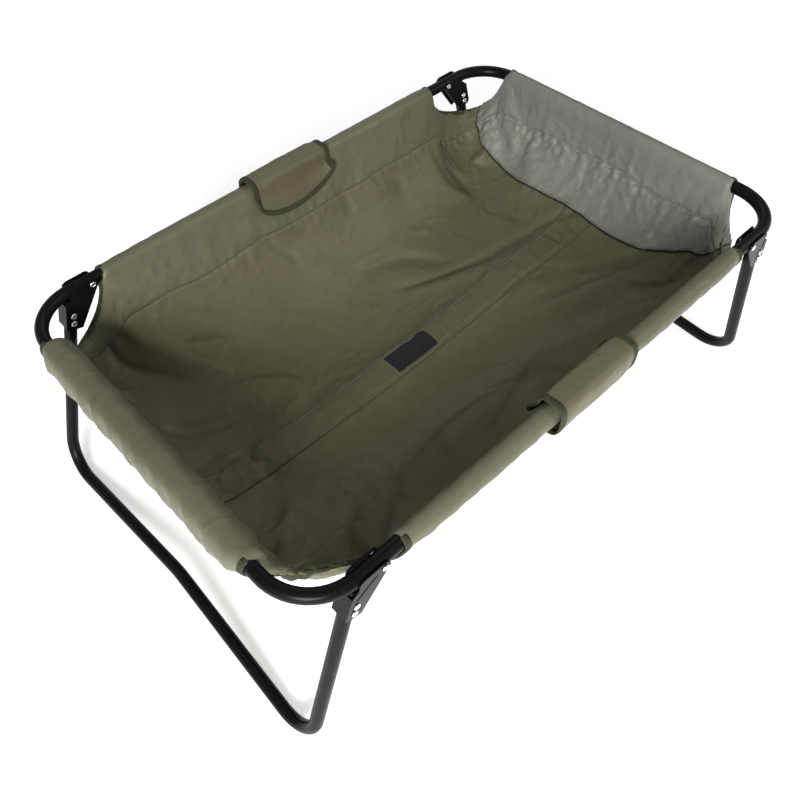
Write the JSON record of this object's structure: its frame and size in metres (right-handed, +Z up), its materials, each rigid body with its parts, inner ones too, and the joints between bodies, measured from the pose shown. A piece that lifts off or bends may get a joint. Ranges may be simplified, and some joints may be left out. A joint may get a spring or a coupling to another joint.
{
  "type": "folding sling stretcher",
  "caption": "Low folding stretcher: hinged black tube frame on two fold-under legs, with a deep olive fabric sling and a grey head panel.",
  "frame": {"origin": "on the floor, under the middle of the frame", "axes": "+X towards the head end with the grey panel, +Y across to the far long side, +Z up"},
  "size_m": [1.0166, 0.6362, 0.3541],
  "materials": {
    "black_steel": "satin black powder coat",
    "zinc_rivet": "bright zinc",
    "sling_cloth": "olive coated nylon, slight sheen",
    "grey_cloth": "grey coated nylon, slight sheen",
    "binding_tape": "dark olive woven tape",
    "hook_tape": "black hook-and-loop tape",
    "thread": "olive sewing thread"
  },
  "bodies": {
    "foot_frame": {"foot_frame_tube": "black_steel", "foot_end_sleeve": "sling_cloth", "foot_end_panel": "sling_cloth", "foot_centre_strip": "sling_cloth", "foot_hook_patch": "hook_tape", "foot_near_sleeve": "sling_cloth", "foot_near_side_panel": "sling_cloth", "foot_near_floor_panel": "sling_cloth", "foot_near_hinge_wrap": "sling_cloth", "foot_near_hinge_leaf": "black_steel", "foot_near_leaf_rivet": "zinc_rivet", "near_hinge_pin": "zinc_rivet", "foot_far_sleeve": "sling_cloth", "foot_far_side_panel": "sling_cloth", "foot_far_floor_panel": "sling_cloth", "foot_far_hinge_wrap": "sling_cloth", "foot_far_hinge_leaf": "black_steel", "foot_far_leaf_rivet": "zinc_rivet", "far_hinge_pin": "zinc_rivet"},
    "head_frame": {"head_frame_tube": "black_steel", "head_end_sleeve": "grey_cloth", "head_end_panel": "grey_cloth", "head_centre_strip": "sling_cloth", "head_hook_patch": "hook_tape", "head_near_sleeve": "sling_cloth", "head_near_side_panel": "sling_cloth", "head_near_floor_panel": "sling_cloth", "head_near_hinge_wrap": "sling_cloth", "head_near_hinge_leaf": "black_steel", "head_near_leaf_rivet": "zinc_rivet", "head_far_sleeve": "sling_cloth", "head_far_side_panel": "sling_cloth", "head_far_floor_panel": "sling_cloth", "head_far_hinge_wrap": "sling_cloth", "head_far_hinge_leaf": "black_steel", "head_far_leaf_rivet": "zinc_rivet"},
    "foot_leg": {"foot_leg_tube": "black_steel", "foot_near_bracket": "black_steel", "foot_near_pivot_rivet": "zinc_rivet", "foot_near_fixing_rivet_1": "zinc_rivet", "foot_near_fixing_rivet_2": "zinc_rivet", "foot_far_bracket": "black_steel", "foot_far_pivot_rivet": "zinc_rivet", "foot_far_fixing_rivet_1": "zinc_rivet", "foot_far_fixing_rivet_2": "zinc_rivet"},
    "head_leg": {"head_leg_tube": "black_steel", "head_near_bracket": "black_steel", "head_near_pivot_rivet": "zinc_rivet", "head_near_fixing_rivet_1": "zinc_rivet", "head_near_fixing_rivet_2": "zinc_rivet", "head_far_bracket": "black_steel", "head_far_pivot_rivet": "zinc_rivet", "head_far_fixing_rivet_1": "zinc_rivet", "head_far_fixing_rivet_2": "zinc_rivet"}
  },
  "joints": [
    {"name": "frame_fold", "type": "hinge", "parent": "foot_frame", "child": "head_frame", "pos_m": [0, 0, 0.349], "axis": [0, -1, 0], "range_deg": [0, 178]},
    {"name": "foot_leg_fold", "type": "hinge", "parent": "foot_frame", "child": "foot_leg", "pos_m": [-0.365, 0, 0.336], "axis": [0, -1, 0], "range_deg": [0, 107.4], "deforming": ["foot_near_side_panel", "foot_near_floor_panel", "foot_far_side_panel", "foot_far_floor_panel", "foot_centre_strip", "foot_hook_patch"]},
    {"name": "head_leg_fold", "type": "hinge", "parent": "head_frame", "child": "head_leg", "pos_m": [0.365, 0, 0.336], "axis": [0, 1, 0], "range_deg": [0, 107.4], "deforming": ["head_near_side_panel", "head_near_floor_panel", "head_far_side_panel", "head_far_floor_panel", "head_centre_strip", "head_hook_patch"]}
  ]
}
